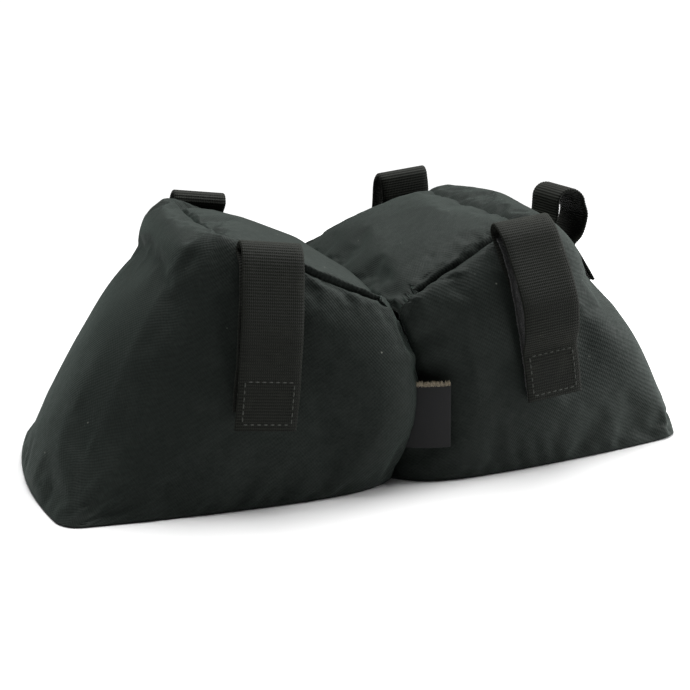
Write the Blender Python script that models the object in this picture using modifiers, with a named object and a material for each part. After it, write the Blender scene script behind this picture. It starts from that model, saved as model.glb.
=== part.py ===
"""Saddle support sandbag: two filled fabric lobes joined at a sewn waist, with five webbing loops.

+X runs along the bag, the front is at -Y and +Z is up. The origin is on the underside, at the waist.
The bag is a fabric cover over two filled liners. Each webbing loop closes with hook-and-loop tape.
"""

import math

import bmesh
import bpy
from mathutils import Matrix, Vector

MM = 0.001
TOUCH_GAP = 0.3 * MM

# ---------------------------------------------------------------- driving dimensions
HALF_LENGTH = 148 * MM  # to the middle of an end of the base
WAIST_BASE_Y = 63 * MM
WAIST_TOP_Y = 68 * MM
WAIST_HEIGHT = 76 * MM
RIDGE_X = 64 * MM
RIDGE_HALF_WIDTH = 49 * MM
RIDGE_HEIGHT = 104 * MM
WAIST_GAP = 1.2 * MM  # half the room between the lobes, for the divider

FABRIC = 1.2 * MM
PANEL_SHARE = 0.975  # a flat panel's share of the seam that it lies in
LINER_FABRIC = 0.5 * MM

WEBBING_WIDTH = 25.4 * MM
WEBBING = 1.3 * MM
PILE = 1.5 * MM
HOOK = 1.3 * MM
PILE_WIDTH = 23 * MM
STRAP_DROP = 70 * MM  # webbing below the fold
HOOK_LENGTH = 20 * MM

LABEL_WIDTH = 19.5 * MM
LABEL_HEIGHT = 28 * MM
LABEL = 0.7 * MM

ZIP_X = 74 * MM  # middle of each filling zip
ZIP_LENGTH = 96 * MM
ZIP_SLOT_WIDTH = 11 * MM
ZIP_TAPE_WIDTH = 14 * MM
ZIP_REST_X = 32 * MM  # middle of a slider on a closed zip; it travels 70 mm outwards

COLLECTION = "saddle_sandbag"
GUIDES = "cutters"

BLACK_CLOTH = (0.0175, 0.0215, 0.0190)
BLACK_WEBBING = (0.0200, 0.0205, 0.0175)
BLACK_PILE = (0.0070, 0.0080, 0.0080)
BLACK_HOOK = (0.0110, 0.0115, 0.0115)
LINER_WHITE = (0.62, 0.60, 0.55)
SAND = (0.45, 0.36, 0.24)
ZIP_BLACK = (0.012, 0.012, 0.013)
ZIP_METAL = (0.08, 0.08, 0.085)

SIDE_WALL_ROWS = 9
FRONT_COLUMNS = 10
CORNER_COLUMNS = 3
END_COLUMNS = 8


# ---------------------------------------------------------------- scene helpers
def clear_scene():
    for item in list(bpy.data.objects):
        bpy.data.objects.remove(item, do_unlink=True)


def collection(name):
    found = bpy.data.collections.get(name) or bpy.data.collections.new(name)
    if name not in bpy.context.scene.collection.children:
        bpy.context.scene.collection.children.link(found)
    return found


def material(name, colour, roughness, metallic=0.0):
    made = bpy.data.materials.get(name) or bpy.data.materials.new(name)
    made.use_nodes = True
    shader = made.node_tree.nodes["Principled BSDF"]
    shader.inputs["Base Color"].default_value = (*colour, 1)
    shader.inputs["Roughness"].default_value = roughness
    shader.inputs["Metallic"].default_value = metallic
    made.diffuse_color = (*colour, 1)
    return made


def place(name, data, look, matrix=None):
    made = bpy.data.objects.new(name, data)
    collection(COLLECTION).objects.link(made)
    if look is not None:
        data.materials.append(look)
    if matrix is not None:
        made.matrix_world = matrix
    return made


def mesh_from(bm, name):
    mesh = bpy.data.meshes.new(name)
    bmesh.ops.recalc_face_normals(bm, faces=bm.faces)
    bm.to_mesh(mesh)
    bm.free()
    return mesh


def smooth(piece, degrees=40):
    piece.data.shade_smooth()
    piece.data.set_sharp_from_angle(angle=math.radians(degrees))


def thicken(piece, thickness):
    """Solidify inwards from the outer surface."""
    shell = piece.modifiers.new("thickness", "SOLIDIFY")
    shell.thickness = thickness
    shell.offset = -1
    shell.use_even_offset = True
    return shell


def box_mesh(name, low, high):
    bm = bmesh.new()
    size = Vector(high) - Vector(low)
    middle = (Vector(high) + Vector(low)) / 2
    bmesh.ops.create_cube(bm, size=1, matrix=Matrix.Translation(middle) @ Matrix.Diagonal((*size, 1)))
    return mesh_from(bm, name)


def cut(piece, cutter):
    collection(GUIDES).objects.link(cutter)
    cutter.hide_render = True
    cutter.display_type = "WIRE"
    boolean = piece.modifiers.new("cut", "BOOLEAN")
    boolean.operation = "DIFFERENCE"
    boolean.solver = "EXACT"
    boolean.object = cutter


def outline_piece(name, points, thickness, look, matrix):
    """A flat outline in its own XY plane, given its thickness both ways along Z."""
    curve = bpy.data.curves.new(name, "CURVE")
    curve.dimensions = "2D"
    curve.fill_mode = "BOTH"
    curve.extrude = thickness / 2
    spline = curve.splines.new("POLY")
    spline.points.add(len(points) - 1)
    for point, (x, y) in zip(spline.points, points):
        point.co = (x, y, 0, 1)
    spline.use_cyclic_u = True
    return place(name, curve, look, matrix)


# ---------------------------------------------------------------- the surface of a lobe
def mix(a, b, share):
    return a + (b - a) * share


def rise(share):
    """How quickly the cloth swells away from the waist seam."""
    return 1 - math.exp(-share / 0.08)


def belly(share):
    """The swell of a long edge between the waist and the corner."""
    return rise(share) * (1 - share**2.2)


def seam_height(x):
    return mix(WAIST_HEIGHT, RIDGE_HEIGHT, x / RIDGE_X)


# A lobe's side is a net of upright curves, each with four control points, one on each control ring.
# A ring is: waist y, corner x, corner y, x of the end's middle, then the heights at the waist, the
# corner and the end's middle, then the belly of its long edge and its corner radius.
SEAM_RING = (WAIST_TOP_Y, RIDGE_X, RIDGE_HALF_WIDTH, RIDGE_X, None, None, None, 0, 4 * MM)


def lobe_rings(upper, lower, base):
    """The four rings of a lobe, with each lower ring's own numbers given in millimetres."""
    rings = [SEAM_RING]
    for waist_y, numbers in ((WAIST_TOP_Y, upper), (WAIST_BASE_Y, lower), (WAIST_BASE_Y, base)):
        rings.append((waist_y, *[n * MM for n in numbers]))
    return rings


# The right-hand lobe is the fuller one: the left-hand lobe is leaner at its corners.
RINGS = {
    1: lobe_rings(
        (84, 62, 84, 84, 116, 131, 6.5, 16),
        (132, 66, 131, 32, 37, 37, 16, 20),
        (142.5, 63.5, HALF_LENGTH / MM, 0.8, 0.8, 0.8, 13, 9),
    ),
    -1: lobe_rings(
        (70, 60, 83, 84, 134, 131, 9, 16),
        (110, 60, 131, 32, 16, 37, 16.5, 20),
        (138.5, 64.5, 147.5, 0.8, 0.8, 0.8, 11.5, 9),
    ),
}


def ring_point(ring, share, along_end):
    """A point on a quarter of a control ring, by its share of the way to the corner or along the end."""
    waist_y, corner_x, corner_y, end_x, waist_z, corner_z, end_z, swell, _radius = ring
    if along_end:
        rounding = 1 - (1 - share) ** 2
        x = mix(corner_x, end_x, rounding)
        y = -corner_y * (1 - share)
        z = None if corner_z is None else mix(corner_z, end_z, rounding)
    else:
        x = mix(WAIST_GAP, corner_x, share)
        y = -(mix(waist_y, corner_y, share) + swell * belly(share))
        z = None if waist_z is None else mix(waist_z, corner_z, min(1, share * 1.1) ** 0.8)
    if z is None:
        z = seam_height(x)
    return Vector((x, y, z))


def ring_quarter(ring, columns=(FRONT_COLUMNS, CORNER_COLUMNS, END_COLUMNS)):
    """The points of a ring from the waist seam round the front corner to the middle of the end."""
    front, corner, end = columns
    radius = ring[-1]
    front_share = 1 - radius / (ring[1] - WAIST_GAP)
    end_share = radius / ring[2]
    points = [ring_point(ring, front_share * (i / front) ** 1.25, False) for i in range(front + 1)]
    before, after = points[-1], ring_point(ring, end_share, True)
    tip = ring_point(ring, 0, True)
    for i in range(1, corner):
        share = i / corner
        points.append(mix(mix(before, tip, share), mix(tip, after, share), share))
    half_end = end // 2
    points += [ring_point(ring, mix(end_share, 1, i / half_end), True) for i in range(half_end + 1)]
    return points


def whole_ring(quarter):
    back = [Vector((p.x, -p.y, p.z)) for p in reversed(quarter[:-1])]
    return quarter + back


def lobe_net(side, rows, columns=(FRONT_COLUMNS, CORNER_COLUMNS, END_COLUMNS)):
    """Rows of points down the side of a lobe, from the top seam to the base, for x > 0."""
    rings = [whole_ring(ring_quarter(ring, columns)) for ring in RINGS[side]]
    net = []
    for row in range(rows + 1):
        t = row / rows
        weights = ((1 - t) ** 3, 3 * t * (1 - t) ** 2, 3 * t * t * (1 - t), t**3)
        line = []
        for points in zip(*rings):
            line.append(sum((p * w for p, w in zip(points, weights)), Vector((0, 0, 0))))
        net.append(line)
    return net


def add_net(bm, net):
    """Adds a net's points and quads, and returns its rows of vertices."""
    rows = [[bm.verts.new(p) for p in line] for line in net]
    for upper, lower in zip(rows, rows[1:]):
        for i in range(len(upper) - 1):
            bm.faces.new((upper[i], lower[i], lower[i + 1], upper[i + 1]))
    return rows


def mirrored(net, side):
    return [[Vector((side * p.x, p.y, p.z)) for p in line] for line in net]


# ---------------------------------------------------------------- straps over the surface
def shifted(line, amount):
    """The line moved sideways, to the left of its run, with its bends kept parallel."""
    moved = []
    for i, point in enumerate(line):
        into = (point - line[i - 1]).normalized() if i else (line[1] - point).normalized()
        out = (line[i + 1] - point).normalized() if i < len(line) - 1 else into
        tangent = (into + out).normalized()
        moved.append(point + Vector((-tangent.y, tangent.x)) * amount / max(0.6, tangent.dot(into)))
    return moved


def ribbon_outline(middle, thickness):
    """The closed outline of a strip of even thickness along a line of (x, y) points."""
    return shifted(middle, thickness / 2) + shifted(middle, -thickness / 2)[::-1]


def resample(middle, spacing, length=None):
    """Points at an even spacing along a line, cut at a length if one is given."""
    steps = [(b - a).length for a, b in zip(middle, middle[1:])]
    total = min(sum(steps), length or sum(steps))
    count = max(2, round(total / spacing))
    points = []
    for i in range(count + 1):
        want = total * i / count
        for a, b, step in zip(middle, middle[1:], steps):
            if want <= step + 1e-9:
                points.append(mix(a, b, min(1, want / step)))
                break
            want -= step
    return points


def soft_line(points, per_span=6):
    """A smooth line through chosen points (Catmull-Rom)."""
    ends = [points[0] * 2 - points[1], *points, points[-1] * 2 - points[-2]]
    line = [points[0]]
    for a, b, c, d in zip(ends, ends[1:], ends[2:], ends[3:]):
        for i in range(1, per_span + 1):
            t = i / per_span
            curve = (2 * a - 5 * b + 4 * c - d) * t**2 + (3 * b - a - 3 * c + d) * t**3
            line.append(0.5 * (2 * b + (c - a) * t + curve))
    return line


class Lay:
    """The plane that a strap is drawn in: its hinge line's middle, the way out of the bag, and the way up."""

    def __init__(self, middle, out, up):
        self.middle = Vector(middle)
        self.out = Vector(out).normalized()
        self.up = Vector(up).normalized()
        self.across = self.out.cross(self.up)

    def matrix(self):
        turn = Matrix((self.out, self.up, self.across)).transposed().to_4x4()
        return Matrix.Translation(self.middle) @ turn

    def flat(self, point):
        offset = point - self.middle
        return offset.dot(self.out), offset.dot(self.up), offset.dot(self.across)


FINE_NETS = {side: mirrored(lobe_net(side, 36, (48, 8, 32)), side) for side in (-1, 1)}


def taut_over(lay, side, half_width, clearance):
    """The line of a strip pulled taut over a lobe, from the top down, in the strip's own plane."""
    spots = []
    for line in FINE_NETS[side]:
        for point in line:
            out, up, across = lay.flat(point)
            if abs(across) <= half_width:
                spots.append((up, out))
    spots.sort()
    chain = []
    for up, out in spots:
        while len(chain) > 1:
            (up_a, out_a), (up_b, out_b) = chain[-2:]
            turn = (up_b - up_a) * (out - out_a) - (out_b - out_a) * (up - up_a)
            if turn < 0:
                break
            chain.pop()
        chain.append((up, out))
    return shifted([Vector((out, up)) for up, out in reversed(chain)], clearance)


# ---------------------------------------------------------------- cover, liners and fill
def make_wall(name, side, look):
    bm = bmesh.new()
    add_net(bm, mirrored(lobe_net(side, SIDE_WALL_ROWS), side))
    if side < 0:
        bmesh.ops.reverse_faces(bm, faces=bm.faces)
    mesh = bpy.data.meshes.new(name)
    bm.to_mesh(mesh)
    bm.free()
    wall = place(name, mesh, look)
    thicken(wall, FABRIC)
    smooth(wall)


def make_saddle_panel(name, side, look):
    """The flat panel between the waist and the ridge, just inside the top seam."""
    slope = math.atan2(RIDGE_HEIGHT - WAIST_HEIGHT, RIDGE_X)
    heart = (WAIST_GAP + RIDGE_X) / 2
    seam = whole_ring(ring_quarter(SEAM_RING))
    points = [((heart + (p.x - heart) * PANEL_SHARE) / math.cos(slope), p.y * PANEL_SHARE) for p in seam]
    across = Vector((0, side, 0))
    uphill = Vector((side * math.cos(slope), 0, math.sin(slope)))
    normal = uphill.cross(across)
    turn = Matrix((uphill, across, normal)).transposed().to_4x4()
    start = Vector((0, 0, WAIST_HEIGHT)) - normal * FABRIC / 2
    outline_piece(name, points, FABRIC, look, Matrix.Translation(start) @ turn)


def make_base_panel(look):
    """One panel under both lobes, with a slot for each filling zip."""
    right, left = [
        [(side * p.x * 0.980, p.y * 0.960) for p in whole_ring(ring_quarter(RINGS[side][-1]))]
        for side in (1, -1)
    ]
    outline = right + left[::-1]
    panel = outline_piece("base_panel", outline, FABRIC, look, Matrix.Translation((0, 0, FABRIC / 2)))
    panel = as_mesh(panel)
    for side in (-1, 1):
        reach = ZIP_LENGTH / 2 + 2 * MM
        low = (side * ZIP_X - reach, -ZIP_SLOT_WIDTH / 2, -MM)
        high = (side * ZIP_X + reach, ZIP_SLOT_WIDTH / 2, 3 * MM)
        cut(panel, bpy.data.objects.new("zip_slot_cutter", box_mesh("zip_slot_cutter", low, high)))


def as_mesh(piece):
    """The same piece as a mesh with welded caps, so that it can be cut."""
    graph = bpy.context.evaluated_depsgraph_get()
    mesh = bpy.data.meshes.new_from_object(piece.evaluated_get(graph))
    bm = bmesh.new()
    bm.from_mesh(mesh)
    bmesh.ops.remove_doubles(bm, verts=bm.verts, dist=0.00001)
    bm.to_mesh(mesh)
    bm.free()
    name = piece.name
    matrix = piece.matrix_world.copy()
    bpy.data.objects.remove(piece)
    return place(name, mesh, None, matrix)


def make_divider(look):
    """The upright web that ties the front and back waist seams together."""
    foot = 1.8 * MM
    top = WAIST_HEIGHT - 3 * MM
    points = [
        (-(WAIST_BASE_Y - 3 * MM), foot),
        (WAIST_BASE_Y - 3 * MM, foot),
        (WAIST_TOP_Y - 3 * MM, top),
        (-(WAIST_TOP_Y - 3 * MM), top),
    ]
    upright = Matrix(((0, 0, 1, 0), (1, 0, 0, 0), (0, 1, 0, 0), (0, 0, 0, 1)))
    outline_piece("waist_divider", points, 0.8 * MM, look, upright)


LINER_FLOOR = 6.6 * MM


def inside(point, shrink):
    """Where a point of the cover comes to on the liner, shrunk a little further for the fill."""
    lined = Vector((66 * MM + (point.x - 66 * MM) * 0.91, point.y * 0.925, LINER_FLOOR + point.z * 0.865))
    heart = Vector((66 * MM, 0, 52 * MM))
    return heart + (lined - heart) * shrink


def closed_lobe(side, shrink, mouth):
    """The closed form of a filled lobe, with a filling mouth in its underside if asked for."""
    net = [[inside(p, shrink) for p in line] for line in lobe_net(side, 6, (6, 2, 4))]
    bm = bmesh.new()
    rows = add_net(bm, mirrored(net, side))
    bm.faces.new(rows[0])
    bm.faces.new([row[0] for row in rows] + [row[-1] for row in reversed(rows)])
    floor = rows[-1]
    if not mouth:
        bm.faces.new(floor)
        return bm
    heart = Vector((side * ZIP_X, 0, floor[0].co.z))
    rim = [bm.verts.new(heart + (v.co - heart) * 0.3) for v in floor]
    count = len(floor)
    for i in range(count):
        after = (i + 1) % count
        bm.faces.new((floor[i], floor[after], rim[after], rim[i]))
    return bm


def make_liner(name, side, look):
    liner = place(name, mesh_from(closed_lobe(side, 1.0, True), name), look)
    thicken(liner, LINER_FABRIC)
    smooth(liner)


def make_fill(name, side, look):
    fill = place(name, mesh_from(closed_lobe(side, 0.972, False), name), look)
    smooth(fill)


# ---------------------------------------------------------------- filling zips
def make_zip(prefix, side, tape_look, metal_look):
    """A zip seen through a slot in the base: two tapes with coils, a slider between them and its pull."""
    middle = side * ZIP_X
    edge_on = Matrix(((0, 0, 1, middle), (1, 0, 0, 0), (0, 1, 0, 0), (0, 0, 0, 1)))
    half_gap = 0.9 * MM
    coil, tape_low, tape_high = 2.6 * MM, 2.9 * MM, 3.7 * MM
    for name, way in (("front", -1), ("back", 1)):
        profile = [
            (half_gap, 2.5 * MM),
            (half_gap + coil, 2.5 * MM),
            (half_gap + coil, tape_low),
            (ZIP_TAPE_WIDTH, tape_low),
            (ZIP_TAPE_WIDTH, tape_high),
            (half_gap + coil, tape_high),
            (half_gap + coil, 4.1 * MM),
            (half_gap, 4.1 * MM),
        ]
        points = [(way * y, z) for y, z in profile]
        outline_piece(f"{prefix}_zip_tape_{name}", points, ZIP_LENGTH, tape_look, edge_on)
    make_slider(f"{prefix}_zip_slider", side * ZIP_REST_X, metal_look)
    make_pull(f"{prefix}_zip_pull", side * ZIP_REST_X, side, metal_look)


def make_slider(name, x, look):
    """Two plates joined by a neck, with the coils running between them."""
    half_plate, half_neck = 4.2 * MM, 0.55 * MM
    points = [
        (-half_plate, 1.5 * MM),
        (half_plate, 1.5 * MM),
        (half_plate, 2.2 * MM),
        (half_neck, 2.2 * MM),
        (half_neck, 4.4 * MM),
        (half_plate, 4.4 * MM),
        (half_plate, 5.1 * MM),
        (-half_plate, 5.1 * MM),
        (-half_plate, 4.4 * MM),
        (-half_neck, 4.4 * MM),
        (-half_neck, 2.2 * MM),
        (-half_plate, 2.2 * MM),
    ]
    edge_on = Matrix(((0, 0, 1, x), (1, 0, 0, 0), (0, 1, 0, 0), (0, 0, 0, 1)))
    outline_piece(name, points, 9 * MM, look, edge_on)


PULL_LENGTH = 20 * MM
PULL_HEIGHT = 0.8 * MM  # its hinge line, above the ground


def make_pull(name, x, side, look):
    """A flat tab with an eye, hinged under the slider and lying along the slot."""
    half_width, waist = 3 * MM, 2 * MM
    length = PULL_LENGTH
    points = [(-0.5 * MM, -waist), (7 * MM, -waist), (9 * MM, -half_width)]
    for i in range(9):
        angle = math.pi * (i / 8 - 0.5)
        points.append((length - half_width + half_width * math.cos(angle), half_width * math.sin(angle)))
    points += [(9 * MM, half_width), (7 * MM, waist), (-0.5 * MM, waist)]
    turn = Matrix.Rotation(0 if side > 0 else math.pi, 4, "Z")
    outline_piece(name, points, 1.0 * MM, look, Matrix.Translation((x, 0, PULL_HEIGHT)) @ turn)


# ---------------------------------------------------------------- webbing loops
def fold_arc(radius, count=8):
    """The fixed half turn at the top of a loop, from its outer side over to its inner side."""
    angles = [math.pi * i / count for i in range(count + 1)]
    return [Vector((radius * math.cos(angle), radius * math.sin(angle))) for angle in angles]


def make_loop(name, lay, side, fold, swell, cling, looks, bare=8 * MM, riser=None):
    """One hook-and-loop strap: the sewn webbing with its pile tape, and the flap with its hook patch.

    swell is the line that the flap takes between its fold and its hook patch, cling is how far down
    that patch begins, and bare how far down the pile begins.
    """
    cloth, pile_look, hook_look = looks
    clearance = TOUCH_GAP + WEBBING / 2 + 0.3 * MM
    lying = taut_over(lay, side, WEBBING_WIDTH / 2 + MM, clearance)
    ceiling = lying[0].y
    start = next(i for i, p in enumerate(lying) if p.x > -fold)
    if riser is None:
        foot = Vector((-fold, min(ceiling, lying[start].y) + 0.2 * MM))
        sewn = [*fold_arc(fold), foot, *lying[start:]]
    else:
        sewn = [*fold_arc(fold), *riser, *[p for p in lying if p.y < riser[-1].y - 2 * MM]]
    foot_at = len(fold_arc(fold)) - 1
    down = resample(sewn[foot_at:], 5 * MM, STRAP_DROP + 8 * MM)
    sewn_line = [*fold_arc(fold)[:-1], *down]
    across = WEBBING_WIDTH
    outline_piece(f"{name}_pile_strap", ribbon_outline(sewn_line, WEBBING), across, cloth, lay.matrix())

    hanging = [p for p in down if p.y < down[0].y - bare]
    pile_line = shifted(hanging[1:], WEBBING / 2 + TOUCH_GAP + PILE / 2)
    outline_piece(f"{name}_pile_tape", ribbon_outline(pile_line, PILE), PILE_WIDTH, pile_look, lay.matrix())

    hook_line = shifted(hanging, WEBBING / 2 + 2 * TOUCH_GAP + PILE + HOOK / 2)
    flap_line = shifted(hanging, WEBBING + 3 * TOUCH_GAP + PILE + HOOK)
    ends = [i for i, p in enumerate(hanging) if p.y < -cling]
    patch = resample(hook_line[ends[0]:], 4 * MM, HOOK_LENGTH)
    outline_piece(f"{name}_hook_patch", ribbon_outline(patch, HOOK), across, hook_look, lay.matrix())

    root = Vector((fold + WEBBING + TOUCH_GAP, 0))
    resting = flap_line[ends[0]:]
    guides = [root, *[Vector(p) for p in swell], resting[0]]
    free = soft_line(guides)
    length_left = HOOK_LENGTH + MM
    tail = resample(resting, 4 * MM, length_left)
    flap = [*resample(free, 5 * MM), *tail[1:]]
    outline_piece(f"{name}_flap", ribbon_outline(flap, WEBBING), across, cloth, lay.matrix())


def side_lay(side, way, x, y, z, lean):
    """The plane of a front (way -1) or back (way +1) strap, whose top leans towards the waist."""
    up = (-side * math.sin(math.radians(lean)), 0, math.cos(math.radians(lean)))
    return Lay((side * x, way * y, z), (0, way, 0), up)


def make_loops(looks):
    for name, side, way, x, z, lean, swell, cling in (
        ("front_left", -1, -1, 50, 102.6, 8, ((9.5, -8), (15.4, -28)), 47),
        ("front_right", 1, -1, 60, 103.8, 6, ((12, -8), (21, -26), (21.5, -38)), 48),
        ("back_left", -1, 1, 50.5, 105.3, 8, ((10, -7), (16, -28)), 49),
        ("back_right", 1, 1, 55, 109.4, 6, ((11, -7), (20, -26), (20.5, -40)), 53),
    ):
        lay = side_lay(side, way, x * MM, 60.5 * MM, z * MM, lean)
        line = [(a * MM, b * MM) for a, b in swell]
        make_loop(name, lay, side, 2.6 * MM, line, cling * MM, looks)
    end = Lay((106 * MM, -8 * MM, 104 * MM), (1, 0, 0), (0, 0, 1))
    riser = [Vector((-6.4 * MM, -7 * MM)), Vector((-8.0 * MM, -12 * MM))]
    line = [(9.2 * MM, -6 * MM), (7.0 * MM, -14 * MM)]
    make_loop("right_end", end, 1, 6 * MM, line, 22 * MM, looks, bare=17 * MM, riser=riser)


def make_label(look):
    """The flat woven label sewn into the front waist seam, lying on the right-hand lobe."""
    middle = Vector((2 * MM, -WAIST_TOP_Y, 30 * MM))
    lay = Lay(middle, (0, -1, 0), (-1, 0, 0))
    lying = taut_over(lay, 1, LABEL_HEIGHT / 2 + MM, TOUCH_GAP + LABEL / 2 + 0.2 * MM)
    line = resample([p for p in lying if p.y < -0.5 * MM], 4 * MM, LABEL_WIDTH)
    outline_piece("side_label", ribbon_outline(line, LABEL), LABEL_HEIGHT, look, lay.matrix())


# ---------------------------------------------------------------- the whole bag
def main():
    clear_scene()
    cloth = material("cover_cloth", BLACK_CLOTH, 0.85)
    web = material("webbing", BLACK_WEBBING, 0.8)
    pile = material("pile_tape", BLACK_PILE, 1.0)
    hook = material("hook_tape", BLACK_HOOK, 0.6)
    lining = material("liner_cloth", LINER_WHITE, 0.9)
    sand = material("sand", SAND, 1.0)
    tape = material("zip_tape", ZIP_BLACK, 0.7)
    metal = material("zip_metal", ZIP_METAL, 0.35, 0.9)
    label = material("label_cloth", ZIP_BLACK, 0.7)

    make_base_panel(cloth)
    make_divider(lining)
    for name, side in (("left", -1), ("right", 1)):
        make_wall(f"{name}_wall", side, cloth)
        make_saddle_panel(f"{name}_saddle_panel", side, cloth)
        make_liner(f"{name}_liner", side, lining)
        make_fill(f"{name}_sand_fill", side, sand)
        make_zip(name, side, tape, metal)
    make_loops((web, pile, hook))
    make_label(label)


main()
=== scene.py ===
"""Looks of the saddle support sandbag: sewn and filled cloth lobes, webbing loops, label and zips.

Lengths are in millimetres until a mesh is made. The surface and the strap lines start from those of the
solids. Then the left-hand lobe is leaner at its corners and bulges over the front waist seam, both lobes
are drawn in below their upper roll, the saddle panels are filled out, and the sewn straps end sooner.
"""

import math

import bmesh
import bpy
import numpy as np
from mathutils import Matrix, Vector, noise
from mathutils.bvhtree import BVHTree


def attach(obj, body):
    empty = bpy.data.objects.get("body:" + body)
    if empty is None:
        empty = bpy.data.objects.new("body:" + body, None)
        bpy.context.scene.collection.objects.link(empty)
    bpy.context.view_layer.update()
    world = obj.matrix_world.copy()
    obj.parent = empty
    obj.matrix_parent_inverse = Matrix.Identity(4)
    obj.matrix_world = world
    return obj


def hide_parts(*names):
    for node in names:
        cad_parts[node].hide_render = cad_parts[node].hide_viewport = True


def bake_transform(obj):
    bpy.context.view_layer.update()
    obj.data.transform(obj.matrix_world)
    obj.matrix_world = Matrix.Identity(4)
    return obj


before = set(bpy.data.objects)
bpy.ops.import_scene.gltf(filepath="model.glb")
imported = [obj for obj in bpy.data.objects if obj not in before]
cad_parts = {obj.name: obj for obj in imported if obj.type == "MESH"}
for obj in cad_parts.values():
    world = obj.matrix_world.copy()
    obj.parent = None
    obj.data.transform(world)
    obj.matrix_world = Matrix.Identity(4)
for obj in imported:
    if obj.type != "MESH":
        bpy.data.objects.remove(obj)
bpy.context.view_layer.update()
MM = 0.001

# ---------------------------------------------------------------- numbers
# waist y, corner x, corner y, x of the end's middle, z at the waist, corner and end, belly, corner radius
SEAM_RING = (68, 64, 49, 64, None, None, None, 0, 4)
RINGS = {
    1: (
        SEAM_RING,
        (68, 84, 62, 84, 84, 116, 131, 6.5, 16),
        (63, 132, 66, 131, 32, 37, 37, 16, 20),
        (63, 142.5, 63.5, 148, 0.8, 0.8, 0.8, 13, 9),
    ),
    -1: (
        SEAM_RING,
        (68, 70, 60, 83, 84, 134, 131, 9, 16),
        (63, 107, 60, 125, 32, 16, 37, 16.5, 20),
        (63, 138.5, 64.5, 147.5, 0.8, 0.8, 0.8, 11.5, 9),
    ),
}
# the cover's grid: columns along a front, round a corner and along the end, and rows down the side
FRONT, CORNER, END = 30, 6, 24
NF, NE = FRONT + CORNER // 2, END + CORNER
COLUMNS = 2 * NF + NE
ROWS = 30
FINE = 3  # finer by this many after the cloth is settled
EASE = 1.15  # columns stand closer together near the waist
SETTLE_FRAMES = 16
MOST_SETTLED = 3.0  # how far the settling may move a point
SEAM_DEPTH = 2.2
PILLOW = 6.0  # how far the fill lifts the middle of a saddle panel
BULGE_PUSH, BULGE_SWELL = 11.5, 5.0
FILL_HEART = (66, 0, 52)  # the middle of the right-hand fill

WEBBING_WIDTH, WEBBING = 25.4, 1.3
PILE, HOOK, GAP = 1.5, 1.3, 0.3
PILE_WIDTH = 23
STRAP_DROP, HOOK_LENGTH = 70, 20
RIB_DEPTH, EDGE_SWAY = 0.16, 0.35
STITCH_PITCH, STITCH_LENGTH, STITCH_WIDTH, STITCH_HEIGHT = 2.75, 2.3, 0.55, 0.35
LABEL_WIDTH, LABEL_HEIGHT, LABEL, THREADS = 19.5, 28, 0.7, 150
RIB = 1.23
ZIP_X, SLOT_REACH, SLOT_HALF_WIDTH = 74, 50.2, 5.7


# ---------------------------------------------------------------- surface of a lobe
def mix(a, b, t):
    return a + (b - a) * t


def seam_height(x):
    return mix(76, 104, x / 64)


def ring_point(ring, share, along_end, gap):
    waist_y, corner_x, corner_y, end_x, waist_z, corner_z, end_z, swell, _radius = ring
    if along_end:
        rounding = 1 - (1 - share) ** 2
        x = mix(corner_x, end_x, rounding)
        y = -corner_y * (1 - share)
        z = None if corner_z is None else mix(corner_z, end_z, rounding)
    else:
        x = mix(gap, corner_x, share)
        y = -(mix(waist_y, corner_y, share) + swell * (1 - math.exp(-share / 0.08)) * (1 - share**2.2))
        z = None if waist_z is None else mix(waist_z, corner_z, min(1, share * 1.1) ** 0.8)
    return np.array((x, y, seam_height(x) if z is None else z), float)


def whole_ring(ring, columns, gap, ease):
    front, corner, end = columns
    radius = ring[-1]
    front_share = 1 - radius / (ring[1] - gap)
    end_share = radius / ring[2]
    points = [ring_point(ring, front_share * (i / front) ** ease, False, gap) for i in range(front + 1)]
    before, after = points[-1], ring_point(ring, end_share, True, gap)
    tip = ring_point(ring, 0, True, gap)
    for i in range(1, corner):
        share = i / corner
        points.append(mix(mix(before, tip, share), mix(tip, after, share), share))
    half_end = end // 2
    points += [ring_point(ring, mix(end_share, 1, i / half_end), True, gap) for i in range(half_end + 1)]
    return np.array(points + [p * (1, -1, 1) for p in points[-2::-1]])


def lobe_net(lobe, rows, columns, gap, ease=1.25):
    """Points of a lobe's side, as rows from the top seam to the base, for x > 0."""
    rings = [whole_ring(ring, columns, gap, ease) for ring in RINGS[lobe]]
    t = np.linspace(0, 1, rows + 1)[:, None, None]
    a, b, c, d = [r[None] for r in rings]
    return (1 - t) ** 3 * a + 3 * t * (1 - t) ** 2 * b + 3 * t * t * (1 - t) * c + t**3 * d


def lowered_seam(net, drop):
    """Slides the front stretch of the top seam down the side wall. Returns the net and the slide."""
    t = np.linspace(0, 1, len(net))
    moved = net.copy()
    for column in range(NF + 1):
        share = column / NF
        start = drop * math.sin(math.pi * share**0.8) ** 0.8 if 0 < share < 1 else 0
        for axis in range(3):
            moved[:, column, axis] = np.interp(start + (1 - start) * t, t, net[:, column, axis])
    return moved, moved[0, : NF + 1] - net[0, : NF + 1]


def necked(net, depth, height):
    """Draws a lobe's corners and end in below its upper roll, at a share of the way down."""
    t = np.linspace(0, 1, len(net))[:, None]
    amount = depth * np.exp(-(((t - height) / 0.1) ** 2)) * np.clip((net[..., 0] - 74) / 16, 0, 1)
    inward = net * (1, 1, 0) - (50, 0, 0)
    inward /= np.linalg.norm(inward, axis=-1, keepdims=True)
    return net - inward * amount[..., None]


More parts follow.
